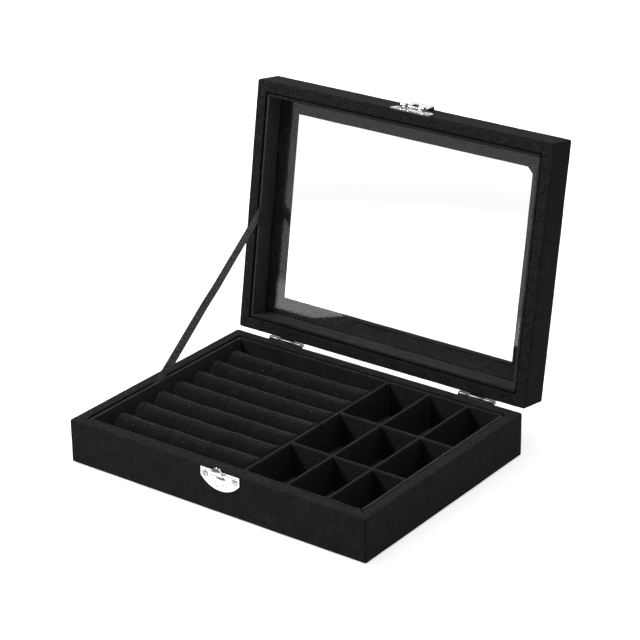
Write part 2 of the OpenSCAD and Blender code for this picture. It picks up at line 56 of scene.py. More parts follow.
photoView = {
    "azimuth": 36.566,  # degrees round from the front, towards the right side
    "elevation": 23.818,  # degrees above the table
    "roll": -0.687,  # degrees
    "distance": 1.2843,  # metres to the point that it looks at
    "target": (0, 0, 0.07),
    "slide": (0.01365, 0.013353),  # metres to the right and up from there
    "lens": 132.377,  # mm, on a 36 mm sensor
}


def makeCamera(view):
    azimuth, elevation, roll = (math.radians(view[k]) for k in ("azimuth", "elevation", "roll"))
    back = Vector((math.sin(azimuth) * math.cos(elevation), -math.cos(azimuth) * math.cos(elevation),
                   math.sin(elevation)))
    level = Vector((math.cos(azimuth), math.sin(azimuth), 0))
    upright = back.cross(level)
    right = level * math.cos(roll) + upright * math.sin(roll)
    up = upright * math.cos(roll) - level * math.sin(roll)
    slide = right * view["slide"][0] + up * view["slide"][1]
    place = Vector(view["target"]) + back * view["distance"] + slide
    camera = bpy.data.objects.new("camera", bpy.data.cameras.new("camera"))
    bpy.context.scene.collection.objects.link(camera)
    camera.data.sensor_width = 36
    camera.data.lens = view["lens"]
    camera.data.clip_start, camera.data.clip_end = 0.05, 50
    camera.matrix_world = Matrix.Translation(place) @ Matrix((right, up, back)).transposed().to_4x4()
    bpy.context.scene.camera = camera


makeCamera(photoView)
print("ring box: camera placed")

# Places, worked out from the frame

lidHinge = next(j for j in frame["joints"] if j["name"] == "lid_hinge")
hingePoint = np.array(lidHinge["pos_m"], float)
openAngle = math.radians(lidHinge["range_deg"][1])


def turned(points, angle, centre):  # points turned about the line through centre along X, y towards z
    c, s = math.cos(angle), math.sin(angle)
    p = np.asarray(points, float) - centre
    return np.stack([p[..., 0], p[..., 1] * c - p[..., 2] * s, p[..., 1] * s + p[..., 2] * c], -1) + centre


def opened(points):  # from the shut lid to the lid at rest on its ribbon
    return turned(points, -openAngle, hingePoint)


def meshPoints(mesh):
    flat = np.empty(len(mesh.vertices) * 3)
    mesh.vertices.foreach_get("co", flat)
    return flat.reshape(-1, 3)


def nodePoints(name):
    return meshPoints(frame["nodes"][name].data)


def nodeBox(name, inLid=False):  # lowest and highest corner; a lid piece is measured with the lid shut
    points = nodePoints(name)
    if inLid:
        points = turned(points, openAngle, hingePoint)
    return points.min(0), points.max(0)


# Surfaces


def softNoise(points, size, seed, waves=20):
    # Smooth bumps about size apart, mostly within -1 to 1: the sum of plane waves in random directions
    rng = np.random.default_rng(seed)
    direction = rng.normal(size=(waves, 3))
    direction /= np.linalg.norm(direction, axis=1, keepdims=True)
    pull = direction * (2 * math.pi / size) * rng.uniform(0.5, 1.2, (waves, 1))
    total = np.sin(points @ pull.T + rng.uniform(0, 2 * math.pi, waves)).sum(-1)
    return np.clip(total / math.sqrt(waves), -1.6, 1.6)


def smoothStep(x, low, high):
    t = np.clip((x - low) / (high - low), 0, 1)
    return t * t * (3 - 2 * t)


def gridFaces(countU, countV, loopU=False, loopV=False):
    # The four corners of every cell of a grid whose points are numbered row by row
    u, v = np.meshgrid(np.arange(countU - (not loopU)), np.arange(countV - (not loopV)), indexing="ij")
    nextU, nextV = (u + 1) % countU, (v + 1) % countV
    corners = [u * countV + v, nextU * countV + v, nextU * countV + nextV, u * countV + nextV]
    return np.stack(corners, -1).reshape(-1, 4)


def signedVolume(points, faces):  # above 0 where the faces of a closed surface point outwards
    a, b, c, d = (points[faces[:, i]] for i in range(4))
    return (np.einsum("ij,ij->i", a, np.cross(b, c)) + np.einsum("ij,ij->i", a, np.cross(c, d))).sum() / 6


def makePiece(name, points, faces, caps=(), layers=None):
    # Makes a mesh object from a closed grid of quads and the rings that close its ends
    points = np.asarray(points, float).reshape(-1, 3)
    centred = points - points.mean(0)
    inside = signedVolume(centred, faces) < 0
    faces = faces[:, ::-1] if inside else faces
    rings = [list(ring)[::-1] if inside else list(ring) for ring in caps]
    mesh = bpy.data.meshes.new(name)
    mesh.from_pydata(points.tolist(), [], faces.tolist() + rings)
    mesh.update()
    mesh.polygons.foreach_set("use_smooth", np.ones(len(mesh.polygons), bool))
    for key, values in (layers or {}).items():
        layer = mesh.attributes.new(key, "FLOAT", "POINT")
        layer.data.foreach_set("value", np.asarray(values, np.float32).ravel())
    piece = bpy.data.objects.new(name, mesh)
    bpy.context.scene.collection.objects.link(piece)
    return piece


def finishPiece(piece, body, material, nodes=()):
    piece.data.materials.clear()
    piece.data.materials.append(material)
    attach(piece, body)
    if nodes:
        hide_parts(*nodes)
    return piece


def roundedLine(corners, radii, step):
    # A line through the corners, with an arc of the given radius at each inner corner
    corners = [np.array(c, float) for c in corners]
    points = [corners[0]]
    for before, corner, after, radius in zip(corners, corners[1:], corners[2:], radii):
        a, b = (before - corner), (after - corner)
        a, b = a / np.linalg.norm(a), b / np.linalg.norm(b)
        half = math.acos(np.clip(a @ b, -1, 1)) / 2
        reach = radius / math.tan(half)
        start, end = corner + a * reach, corner + b * reach
        centre = corner + (a + b) / np.linalg.norm(a + b) * radius / math.sin(half)
        straight = np.linalg.norm(start - points[-1])
        points += list(np.linspace(points[-1], start, max(2, math.ceil(straight / step)) + 1)[1:])
        sweep = math.pi - 2 * half
        turns = np.linspace(0, 1, max(4, math.ceil(radius * sweep / step * 1.6)) + 1)[1:]
        first, last = start - centre, end - centre
        for t in turns:  # the arc between its two ends, by the weights of a slerp
            out = math.sin((1 - t) * sweep) * first + math.sin(t * sweep) * last
            points.append(centre + out / math.sin(sweep))
    straight = np.linalg.norm(corners[-1] - points[-1])
    points += list(np.linspace(points[-1], corners[-1], max(2, math.ceil(straight / step)) + 1)[1:])
    return np.array(points)


def lineNormals(line):  # to the left of the way along the line
    run = np.gradient(line, axis=0)
    run /= np.linalg.norm(run, axis=1, keepdims=True)
    return np.stack([-run[:, 1], run[:, 0]], 1)


def ringPath(width, depth, cornerStep, sideStep, near=13 * mm):
    # Once round a rectangle, in finer steps near its corners: the place of each arc's centre,
    # as a share of the half sides, and the way outwards
    arc = np.linspace(0, math.pi / 2, 11)
    centres, outwards = [], []
    for i, (sx, sy) in enumerate([(1, -1), (1, 1), (-1, 1), (-1, -1)]):
        angle = -math.pi / 2 + i * math.pi / 2 + arc
        centres.append(np.tile([sx, sy], (len(arc), 1)))
        outwards.append(np.stack([np.cos(angle), np.sin(angle)], 1))
        length = depth if i % 2 == 0 else width
        steps = [np.linspace(0, near, round(near / cornerStep) + 1)[1:],
                 np.linspace(near, length - near, round((length - 2 * near) / sideStep) + 1)[1:],
                 np.linspace(length - near, length, round(near / cornerStep) + 1)[1:-1]]
        share = np.concatenate(steps)[:, None] / length
        nextCorner = np.array([(1, 1), (-1, 1), (-1, -1), (1, -1)][i])
        centres.append((1 - share) * np.array([sx, sy]) + share * nextCorner)
        outwards.append(np.tile([math.cos(angle[-1]), math.sin(angle[-1])], (len(share), 1)))
    return np.concatenate(centres), np.concatenate(outwards)


# Velvet skins

velvetSkin = {
    "thickness": 0.55 * mm,
    "pile": 0.3 * mm,  # how far the pile stands out from the sides
    "cornerRadius": 1.2 * mm,
    "edgeRadius": 1.0 * mm,
    "innerRadius": 0.5 * mm,
    "footRadius": 0.4 * mm,
    "turnIn": 10 * mm,
    "rimReach": 9 * mm,  # the rim lies nearer to the side than this
    "step": 0.8 * mm,  # between points across the cloth
    "cornerStep": 0.5 * mm,  # and along it, near the box's corners
    "sideStep": 1.8 * mm,  # and between them
    "waviness": 0.13 * mm,  # how far the cloth lies in from its nominal face, at most
    "baseCrease": 0.2 * mm,  # how deep the folds across the corners of the rim are
    "lidCrease": 0.12 * mm,
    "creaseWidth": 0.45 * mm,
    "swellAt": 1.3 * mm,  # where the cloth swells beside a fold
    "swellWidth": 1 * mm,
    "baseRubAndHighlight": 0.7,  # how worn the rim's pile is, and how much its top is lightened by a painted highlight
    "lidRubAndHighlight": 0.8,
    "tuckCut": 3 * mm,  # how far a diagonal tuck cuts off one corner of the window
    "tuckCorner": (1, -1),  # right and front, with the lid shut
}


def skinSurface(name, line, halfW, halfD, seed, rimWay, rimRubAndHighlight, fold,
                border=None, place=None, cfg=velvetSkin):
    # Carries a line, given as depth in from the side and height, once round the box,
    # doubles it inwards by the cloth's thickness, and lets it wave a little below the nominal face
    normals = lineNormals(line)
    inner = (line - normals * cfg["thickness"])[::-3]
    loop = np.concatenate([line, inner])
    loopNormals = np.concatenate([normals, normals[::-3]])
    centres, outwards = ringPath(2 * halfW, 2 * halfD, cfg["cornerStep"], cfg["sideStep"])
    inset, height = loop[None, :, 0], loop[None, :, 1]
    radius = np.maximum(cfg["cornerRadius"] - inset, 0.5 * mm)
    x = centres[:, None, 0] * (halfW - inset - radius) + radius * outwards[:, None, 0]
    y = centres[:, None, 1] * (halfD - inset - radius) + radius * outwards[:, None, 1]
    points = np.stack([x, y, np.broadcast_to(height, x.shape)], -1)
    push = np.stack([-outwards[:, None, 0] * loopNormals[None, :, 0],
                     -outwards[:, None, 1] * loopNormals[None, :, 0],
                     np.broadcast_to(loopNormals[None, :, 1], x.shape)], -1)
    wave = 0.6 * softNoise(points, 34 * mm, seed) + 0.3 * softNoise(points, 9 * mm, seed + 1) \
        + 0.25 * softNoise(points, 3.2 * mm, seed + 2)
    lower = cfg["waviness"] * (0.5 + 0.5 * wave)
    fromDiagonal = np.abs((halfW - np.abs(x)) - (halfD - np.abs(y))) / math.sqrt(2)
    onRim = smoothStep(push[..., 2] * rimWay, 0.1, 0.8) * (inset < cfg["rimReach"])
    crease = onRim * np.exp(-(fromDiagonal / cfg["creaseWidth"]) ** 2)
    swell = onRim * np.exp(-((fromDiagonal - cfg["swellAt"]) / cfg["swellWidth"]) ** 2)
    lower = np.maximum(lower, 0) + np.maximum(fold * (crease - 0.25 * swell), -0.1 * mm)
    points = points - push * lower[..., None]
    steep = np.abs(push[..., 2])
    # pale tips where the pile is rubbed, with a painted highlight: on rounded edges, on the rim's top and on
    # the swell beside each fold
    rubAndHighlight = smoothStep(steep, 0.2, 0.6) * (1 - smoothStep(steep, 0.8, 0.99))
    rubAndHighlight = rubAndHighlight + rimRubAndHighlight * smoothStep(push[..., 2] * rimWay, 0.8, 1) + 0.5 * swell
    paintedWallShade = np.zeros_like(rubAndHighlight)  # 1 on the walls of the window, where little light reaches the pile: a painted shade darkens the pile there and calms its tips and bumps
    if border is not None:  # the tuck: the window's edge ends at a line across its corner
        sx, sy = cfg["tuckCorner"]
        share = (halfW - border - x * sx) + (halfD - border - y * sy)
        near = smoothStep(inset, border - 2.4 * mm, border - 0.2 * mm) * ((x * sx > 0) & (y * sy > 0))
        pull = np.maximum(cfg["tuckCut"] - share, 0) / 2 * near
        points[..., 0] -= sx * pull
        points[..., 1] -= sy * pull
        onLedge = smoothStep(-push[..., 2], 0.6, 0.95) * (inset > cfg["rimReach"] - mm)
        onLedge = onLedge * (x * sx > 0) * (y * sy > 0)
        # a pale line along the tuck: painted highlight
        rubAndHighlight = np.maximum(rubAndHighlight, 1.6 * onLedge * np.exp(-((share - cfg["tuckCut"]) / (0.4 * mm)) ** 2))
        paintedWallShade = paintedWallShade + smoothStep(inset, border - 1.4 * mm, border - 0.3 * mm)
    points = points if place is None else place(points)
    faces = gridFaces(len(centres), len(loop), True, True)
    return makePiece(name, points, faces, layers={"rubAndHighlight": rubAndHighlight, "paintedWallShade": paintedWallShade})


def boxSides(wrap, wall, inLid):
    # Half width, half depth, lowest, highest, and the rim's width with its cloth
    low, high = nodeBox(wrap, inLid)
    outer, inner = nodeBox(wall, inLid)[0][0], nodeBox(wall, inLid)[1][0]
    return high[0], high[1], low[2], high[2], (inner + high[0]) + (outer + high[0])


def baseSkinLine(cfg=velvetSkin):
    # From under the base up the side, over the rim and down inside
    halfW, halfD, low, high, rim = boxSides("base_velvet_wrap", "base_left_wall", False)
    out, rim = cfg["pile"], rim + cfg["pile"]
    corners = [(cfg["turnIn"], low), (0, low), (0, high), (rim, high), (rim, high - cfg["turnIn"])]
    radii = [cfg["footRadius"], cfg["edgeRadius"], cfg["innerRadius"]]
    return roundedLine(corners, radii, cfg["step"]), halfW + out, halfD + out


def lidSkinLine(cfg=velvetSkin):
    # From inside the rim, round the side and the top to the window, and in under its border
    halfW, halfD, low, high, rim = boxSides("lid_velvet_wrap", "lid_left_wall", True)
    glass = nodeBox("glass_pane", True)[1][2]
    out, rim, border = cfg["pile"], rim + cfg["pile"], windowBorder() + cfg["pile"]
    corners = [(rim, low + cfg["turnIn"]), (rim, low), (0, low), (0, high), (border, high),
               (border, glass), (border - cfg["turnIn"] + cfg["thickness"], glass)]
    radii = [cfg["innerRadius"], cfg["edgeRadius"], cfg["edgeRadius"], cfg["innerRadius"], 0.7 * mm]
    return roundedLine(corners, radii, cfg["step"]), halfW + out, halfD + out, border


def windowBorder():
    # The border's width, from the side of the lid to the edge of the window in its cover
    points = turned(nodePoints("lid_window_frame"), openAngle, hingePoint)
    outer = nodeBox("lid_velvet_wrap", True)[1][0]
    skin = outer - nodeBox("lid_window_frame", True)[1][0]
    middle = points[np.abs(points[:, 0]) < outer - 14 * mm]
    return outer - np.abs(middle[:, 0]).max() + skin


boardShape = {
    "acrossStep": 0.8 * mm,
    "alongStep": 1.1 * mm,
    "crestPower": 0.6,  # 1 for a round crest, less for a flatter one
    "waviness": 0.12 * mm,
    "rubAndHighlight": 0.7,  # how worn the crest's pile is, and how much it is lightened by a painted highlight
    "press": 0.25 * mm,  # how far a lining lies into the pile of the cover beside it
}


def boardSurface(name, length, thickness, low, high, seed, place, cfg=boardShape):
    # An upright velvet board along X: a cross-section whose top is half a superellipse is carried along it,
    # its crest and faces wave a little, and its ends are closed
    half = thickness / 2
    across = max(6, round((high - low) / cfg["acrossStep"]))
    side = np.linspace(low, high - half, across)
    arc = np.linspace(0, math.pi, 11)[1:-1]
    power = cfg["crestPower"]
    crest = np.sign(np.cos(arc)) * np.abs(np.cos(arc)) ** power, np.sin(arc) ** power
    loop = np.concatenate([np.stack([np.full(across, half), side], 1),
                           np.stack([half * crest[0], high - half + half * crest[1]], 1),
                           np.stack([np.full(across, -half), side[::-1]], 1)])
    count = max(8, round(length / cfg["alongStep"]))
    along = np.linspace(-length / 2, length / 2, count)
    points = np.empty((count, len(loop), 3))
    points[..., 0] = along[:, None]
    points[..., 1] = loop[None, :, 0]
    points[..., 2] = loop[None, :, 1]
    worldish = points + np.array([seed * 0.37, seed * 0.11, 0])
    rise = smoothStep(points[..., 2], low, high)
    faceWave = 0.5 + 0.5 * softNoise(worldish, 11 * mm, seed)
    points[..., 1] -= np.sign(points[..., 1]) * cfg["waviness"] * faceWave * rise
    crestWave = 0.5 + 0.5 * softNoise(worldish, 15 * mm, seed + 1)
    points[..., 2] -= cfg["waviness"] * crestWave * rise ** 4
    # the crest is lightened: wear and a painted highlight
    rubAndHighlight = cfg["rubAndHighlight"] * smoothStep(points[..., 2], high - half * 1.4, high - half * 0.2)
    caps = [list(range(len(loop))), list(range((count - 1) * len(loop), count * len(loop)))[::-1]]
    faces = gridFaces(count, len(loop), False, True)
    return makePiece(name, place(points), faces, caps, {"rubAndHighlight": rubAndHighlight})


# Material groups


def newGroup(name, inputs, outputs):  # inputs and outputs: each socket's name and kind
    group = bpy.data.node_groups.new(name, "ShaderNodeTree")
    for way, sockets in (("INPUT", inputs), ("OUTPUT", outputs)):
        for label, kind in sockets.items():
            group.interface.new_socket(label, in_out=way, socket_type="NodeSocket" + kind)
    return group, group.nodes.new("NodeGroupInput").outputs, group.nodes.new("NodeGroupOutput").inputs


def addNode(tree, kind, links=None, **values):
    node = tree.nodes.new(kind)
    for key, value in values.items():
        setattr(node, key, value)
    for key, value in (links or {}).items():
        if isinstance(value, bpy.types.NodeSocket):
            tree.links.new(value, node.inputs[key])
        else:
            node.inputs[key].default_value = value
    return node


def placeGroup(tree, group, links):
    return addNode(tree, "ShaderNodeGroup", links, node_tree=group)


def noiseMask(tree, vector, scale, detail, distortion=0.0):
    links = {"Vector": vector, "Scale": scale, "Detail": detail, "Distortion": distortion}
    return addNode(tree, "ShaderNodeTexNoise", links).outputs["Fac"]


def attributeMask(tree, name):
    return addNode(tree, "ShaderNodeAttribute", attribute_type="GEOMETRY", attribute_name=name).outputs["Fac"]


def mathNode(tree, operation, a, b=None, c=None):
    links = {i: v for i, v in enumerate((a, b, c)) if v is not None}
    return addNode(tree, "ShaderNodeMath", links, operation=operation).outputs[0]


def mapRange(tree, value, low, high, toLow=0.0, toHigh=1.0):
    links = {"Value": value, "From Min": low, "From Max": high, "To Min": toLow, "To Max": toHigh}
    return addNode(tree, "ShaderNodeMapRange", links, interpolation_type="SMOOTHSTEP").outputs["Result"]


def mixColor(tree, share, a, b, blend="MIX"):
    node = addNode(tree, "ShaderNodeMix", {0: share}, data_type="RGBA", blend_type=blend)
    for index, value in ((6, a), (7, b)):
        if isinstance(value, bpy.types.NodeSocket):
            tree.links.new(value, node.inputs[index])
        else:
            node.inputs[index].default_value = value
    return node.outputs[2]


def rgb(r, g, b):
    return (r, g, b, 1)


def buildPile():
    # Short cut pile: a fine grain, soft patches where the pile lies another way, pale fibre tips that show
    # most where the cloth is rubbed and where a painted highlight lies, specks of lint, and a painted shade
    # on the window's walls
    group, given, made = newGroup(
        "pile",
        {"Vector": "Vector", "Dark": "Color", "Light": "Color", "Tips": "Color", "Patch Scale": "Float",
         "Fuzz": "Float", "Lint": "Float", "Rub And Highlight": "Float", "Painted Wall Shade": "Float"},
        {"Color": "Color", "Roughness": "Float", "Height": "Float"})
    vector = given["Vector"]
    grain, tuft = noiseMask(group, vector, 3600.0, 1.0), noiseMask(group, vector, 900.0, 2.0)
    patch = noiseMask(group, vector, given["Patch Scale"], 3.0, 0.6)
    clump = noiseMask(group, vector, 420.0, 2.0)
    tufts = addNode(group, "ShaderNodeTexVoronoi", {"Vector": vector, "Scale": 1700.0, "Randomness": 1.0},
                    feature="F1", distance="EUCLIDEAN")
    lean = addNode(group, "ShaderNodeSeparateColor", {"Color": tufts.outputs["Color"]}).outputs["Red"]
    tuftDot = mapRange(group, tufts.outputs["Distance"], 0.55, 0.1)
    grainMask = mapRange(group, grain, 0.3, 0.7)
    tuftMask = mapRange(group, tuft, 0.3, 0.75)
    share = mathNode(group, "MULTIPLY_ADD", mapRange(group, patch, 0.34, 0.7), 0.3,
                     mathNode(group, "MULTIPLY", tuftMask, 0.4))
    share = mathNode(group, "MULTIPLY_ADD", grainMask, 0.3, share)
    color = mixColor(group, share, given["Dark"], given["Light"])
    tips = mathNode(group, "MULTIPLY", tuftDot, mapRange(group, lean, 0.35, 1.0))
    clumps = mathNode(group, "MULTIPLY_ADD", mapRange(group, clump, 0.35, 0.68), 0.8, 0.2)
    tips = mathNode(group, "MULTIPLY", tips, clumps)
    calm = mathNode(group, "MULTIPLY_ADD", given["Painted Wall Shade"], -0.75, 1.0)
    # pale tips show a little everywhere, and most where the pile is rubbed and a painted highlight lies
    wornAndLit = mathNode(group, "MULTIPLY_ADD", given["Rub And Highlight"], 0.75, given["Fuzz"])
    wornAndLit = mathNode(group, "MULTIPLY", wornAndLit, calm)
    spread = mathNode(group, "MULTIPLY_ADD", tips, 0.85, mathNode(group, "MULTIPLY", tuftMask, 0.15))
    color = mixColor(group, mathNode(group, "MULTIPLY", spread, wornAndLit), color, given["Tips"])
    cells = addNode(group, "ShaderNodeTexVoronoi", {"Vector": vector, "Scale": 420.0, "Randomness": 1.0},
                    feature="F1", distance="EUCLIDEAN")
    chosen = addNode(group, "ShaderNodeSeparateColor", {"Color": cells.outputs["Color"]})
    reach = mathNode(group, "MULTIPLY", chosen.outputs["Green"], 0.12)
    dot = mathNode(group, "LESS_THAN", cells.outputs["Distance"], reach)
    kept = mathNode(group, "GREATER_THAN", chosen.outputs["Red"], 0.6)
    lint = mathNode(group, "MULTIPLY", mathNode(group, "MULTIPLY", dot, kept), given["Lint"])
    color = mixColor(group, lint, color, rgb(0.3, 0.29, 0.29))
    # painted shade: the pile on the window's walls is darkened towards black
    shade = mathNode(group, "MULTIPLY", given["Painted Wall Shade"], 0.6)
    color = mixColor(group, shade, color, rgb(0.001, 0.001, 0.001))
    rough = mathNode(group, "SUBTRACT", 1.0, mathNode(group, "MULTIPLY", grainMask, 0.12))
    height = mathNode(group, "MULTIPLY_ADD", tuftDot, 0.4, mathNode(group, "MULTIPLY", grain, 0.6))
    height = mathNode(group, "MULTIPLY", height, calm)
    group.links.new(color, made["Color"])
    group.links.new(rough, made["Roughness"])
    group.links.new(height, made["Height"])
    return group


def buildGrimeAndShade():
    # Dirt and painted shade round a point: full up to a near distance, none past a far one, and broken up by
    # a noise
    group, given, made = newGroup(
        "grimeAndShade", {"Vector": "Vector", "Centre": "Vector", "Near": "Float", "Far": "Float"}, {"Mask": "Float"})
    ends = {0: given["Vector"], 1: given["Centre"]}
    away = addNode(group, "ShaderNodeVectorMath", ends, operation="DISTANCE").outputs["Value"]
    mask = mapRange(group, away, given["Far"], given["Near"])
    spots = mapRange(group, noiseMask(group, given["Vector"], 1500.0, 3.0), 0.3, 0.6, 0.35, 1.0)
    group.links.new(mathNode(group, "MULTIPLY", mask, spots), made["Mask"])
    return group


def buildPlate():
    # Plated metal: faint rolling marks, small smudges and a little dulling
    group, given, made = newGroup(
        "plate",
        {"Vector": "Vector", "Metal": "Color", "Stain": "Color", "Roughness": "Float", "Wear": "Float"},
        {"Color": "Color", "Roughness": "Float", "Height": "Float"})
    vector = given["Vector"]
    smudge = mapRange(group, noiseMask(group, vector, 420.0, 4.0), 0.5, 0.72)
    stretched = addNode(group, "ShaderNodeMapping", {"Vector": vector, "Scale": (300.0, 5000.0, 5000.0)})
    marks = noiseMask(group, stretched.outputs[0], 1.0, 2.0)
    stain = mathNode(group, "MULTIPLY", smudge, given["Wear"])
    color = mixColor(group, stain, given["Metal"], given["Stain"])
    dulling = mathNode(group, "MULTIPLY", given["Wear"], 0.3)
    rough = mathNode(group, "MULTIPLY_ADD", smudge, dulling, given["Roughness"])
    rough = mathNode(group, "MULTIPLY_ADD", marks, 0.06, rough)
    group.links.new(color, made["Color"])
    group.links.new(rough, made["Roughness"])
    group.links.new(marks, made["Height"])
    return group


pile = buildPile()
plate = buildPlate()
grimeAndShade = buildGrimeAndShade()


def newMaterial(name):
    material = bpy.data.materials.new(name)
    material.use_nodes = True
    tree = material.node_tree
    shader = tree.nodes["Principled BSDF"]
    coordinates = tree.nodes.new("ShaderNodeTexCoord").outputs["Object"]
    return material, tree, shader, coordinates


def bumpFrom(tree, shader, height, distance, strength=1.0):
    bump = addNode(tree, "ShaderNodeBump", {"Height": height, "Distance": distance, "Strength": strength})
    tree.links.new(bump.outputs["Normal"], shader.inputs["Normal"])


def velvetMaterial(name, dark, light, fuzz=0.12, sheen=0.2, lint=0.45, patch=140.0):
    material, tree, shader, coordinates = newMaterial(name)
    tips = 0.1
    group = placeGroup(tree, pile, {
        "Vector": coordinates,
        "Dark": rgb(dark, dark * 0.96, dark * 1.12),
        "Light": rgb(light, light * 0.96, light * 1.06),
        "Tips": rgb(tips, tips * 0.96, tips * 1.02),
        "Fuzz": fuzz,
        "Lint": lint,
        "Patch Scale": patch,
        "Rub And Highlight": attributeMask(tree, "rubAndHighlight"),
        "Painted Wall Shade": attributeMask(tree, "paintedWallShade"),
    })
    tree.links.new(group.outputs["Color"], shader.inputs["Base Color"])
    tree.links.new(group.outputs["Roughness"], shader.inputs["Roughness"])
    bumpFrom(tree, shader, group.outputs["Height"], 0.07 * mm)
    shader.inputs["Specular IOR Level"].default_value = 0.08
    shader.inputs["Sheen Weight"].default_value = sheen
    shader.inputs["Sheen Roughness"].default_value = 0.42
    shader.inputs["Sheen Tint"].default_value = rgb(0.55, 0.54, 0.56)
    return material


def metalMaterial(name, metal, roughness, wear, dirtAndShade=()):
    # dirt and painted shade: where they gather, each time a point, a near and a far distance and how much of
    # it
    material, tree, shader, coordinates = newMaterial(name)
    group = placeGroup(tree, plate, {"Vector": coordinates, "Metal": rgb(*metal), "Roughness": roughness,
                                     "Stain": rgb(0.5, 0.48, 0.45), "Wear": wear})
    dirtyAndShaded = 0.0
    for centre, near, far, much in dirtAndShade:
        spot = placeGroup(tree, grimeAndShade, {"Vector": coordinates, "Centre": tuple(centre),
                                        "Near": near, "Far": far})
        dirtyAndShaded = mathNode(tree, "MAXIMUM", mathNode(tree, "MULTIPLY", spot.outputs["Mask"], much), dirtyAndShaded)
    # the metal darkens towards dark brown where dirt and painted shade gather
    color = mixColor(tree, dirtyAndShaded, group.outputs["Color"], rgb(0.05, 0.042, 0.036))
    rough = mathNode(tree, "MULTIPLY_ADD", dirtyAndShaded, 0.4, group.outputs["Roughness"])
    tree.links.new(color, shader.inputs["Base Color"])
    tree.links.new(rough, shader.inputs["Roughness"])
    bumpFrom(tree, shader, group.outputs["Height"], 0.004 * mm)
    shader.inputs["Metallic"].default_value = 1.0
    return material


def screwPlaces(node, inLid=False, headHeight=0.7 * mm):
    # Of every screw of a node, with the lid shut: where its head rests, the way out, its radius, its length
    points = turned(nodePoints(node), openAngle, hingePoint) if inLid else nodePoints(node)
    xs = np.sort(points[:, 0])
    starts = np.concatenate([[xs[0]], xs[1:][np.diff(xs) > 0.6 * mm]])
    places = []
    for start, after in zip(starts, [*starts[1:], 1e9]):
        own = points[(points[:, 0] >= start - 1e-6) & (points[:, 0] < after - 1e-6)]
        low, high = own.min(0), own.max(0)
        out = np.sign(low[1])
        seat = (low[1] if out < 0 else high[1]) - out * headHeight
        middle = np.array([(low[0] + high[0]) / 2, seat, (low[2] + high[2]) / 2])
        places.append((middle, out, (high[0] - low[0]) / 2, high[1] - low[1] - headHeight))
    return places


def claspDirtAndShade():
    # Dirt and painted shade round the screw heads, under the hook on the boss, and round the pin
    catchBox = nodeBox("catch_plate")
    heads = screwPlaces("catch_screws")
    middle = sum(h[0] for h in heads) / len(heads)
    boss = np.array([middle[0], middle[1], (catchBox[0][2] + middle[2]) / 2 - 0.2 * mm])
    spots = [(h[0], h[2] * 1.02, h[2] * 1.45, 0.85) for h in heads]
    spots += [(opened(h[0]), h[2] * 1.02, h[2] * 1.4, 0.85) for h in screwPlaces("hasp_screws", True)]
    spots.append((boss + np.array([2.3 * mm, 0, 0.6 * mm]), 0.4 * mm, 1.6 * mm, 0.6))
    pin = (nodeBox("hasp_pin")[0] + nodeBox("hasp_pin")[1]) / 2
    spots += [(pin + np.array([x * mm, 0, 0]), 1.0 * mm, 2.2 * mm, 0.9) for x in (-3.4, 0.2, 2.2)]
    return spots


def fibreMaterial(name, scale, detail, distortion, dark, light, roughness, sheen, bump):
    # Matted fibres, in two shades
    material, tree, shader, coordinates = newMaterial(name)
    fibres = noiseMask(tree, coordinates, scale, detail, distortion)
    color = mixColor(tree, mapRange(tree, fibres, 0.3, 0.7), rgb(*dark), rgb(*light))
    if not sheen:  # bare board has darker blotches
        blotch = mathNode(tree, "MULTIPLY", noiseMask(tree, coordinates, 60.0, 2.0), 0.3)
        color = mixColor(tree, blotch, color, rgb(0.035, 0.028, 0.023))
    tree.links.new(color, shader.inputs["Base Color"])
    shader.inputs["Roughness"].default_value = roughness
    shader.inputs["Sheen Weight"].default_value = sheen
    bumpFrom(tree, shader, fibres, bump)
    return material


def glassMaterial():  # clear window glass with a little dust; shadows pass through it
    material, tree, shader, coordinates = newMaterial("clearGlass")
    dust = noiseMask(tree, coordinates, 90.0, 4.0)
    tree.links.new(mapRange(tree, dust, 0.55, 0.8, 0.0, 0.03), shader.inputs["Roughness"])
    shader.inputs["Base Color"].default_value = rgb(0.955, 0.965, 0.98)
    shader.inputs["Transmission Weight"].default_value = 1.0
    shader.inputs["IOR"].default_value = 1.52
    light = tree.nodes.new("ShaderNodeLightPath")
    alpha = mathNode(tree, "MULTIPLY_ADD", light.outputs["Is Shadow Ray"], -0.9, 1.0)
    tree.links.new(alpha, shader.inputs["Alpha"])
    return material


def ribbonMaterial():
    # Grosgrain: ribs across the ribbon, speckled yarn, dark edges and a dull sheen
    material, tree, shader, coordinates = newMaterial("grosgrain")
    uv = addNode(tree, "ShaderNodeUVMap", uv_map="weave").outputs["UV"]
    yarn = noiseMask(tree, coordinates, 1000.0, 1.0)
    ribs = addNode(tree, "ShaderNodeTexWave", {"Vector": uv, "Scale": 1.0, "Distortion": 0.3},
                   wave_type="BANDS", bands_direction="X").outputs["Fac"]
    edge = mathNode(tree, "MULTIPLY", attributeMask(tree, "rubAndHighlight"), 0.8)
    speckle = mapRange(tree, yarn, 0.4, 0.62)
    color = mixColor(tree, speckle, rgb(0.016, 0.0155, 0.017), rgb(0.17, 0.166, 0.172))
    color = mixColor(tree, edge, color, rgb(0.014, 0.014, 0.015))
    tree.links.new(color, shader.inputs["Base Color"])
    shader.inputs["Roughness"].default_value = 0.75
    shader.inputs["Sheen Weight"].default_value = 0.4
    shader.inputs["Sheen Roughness"].default_value = 0.5
    bumpFrom(tree, shader, ribs, 0.05 * mm)
    return material


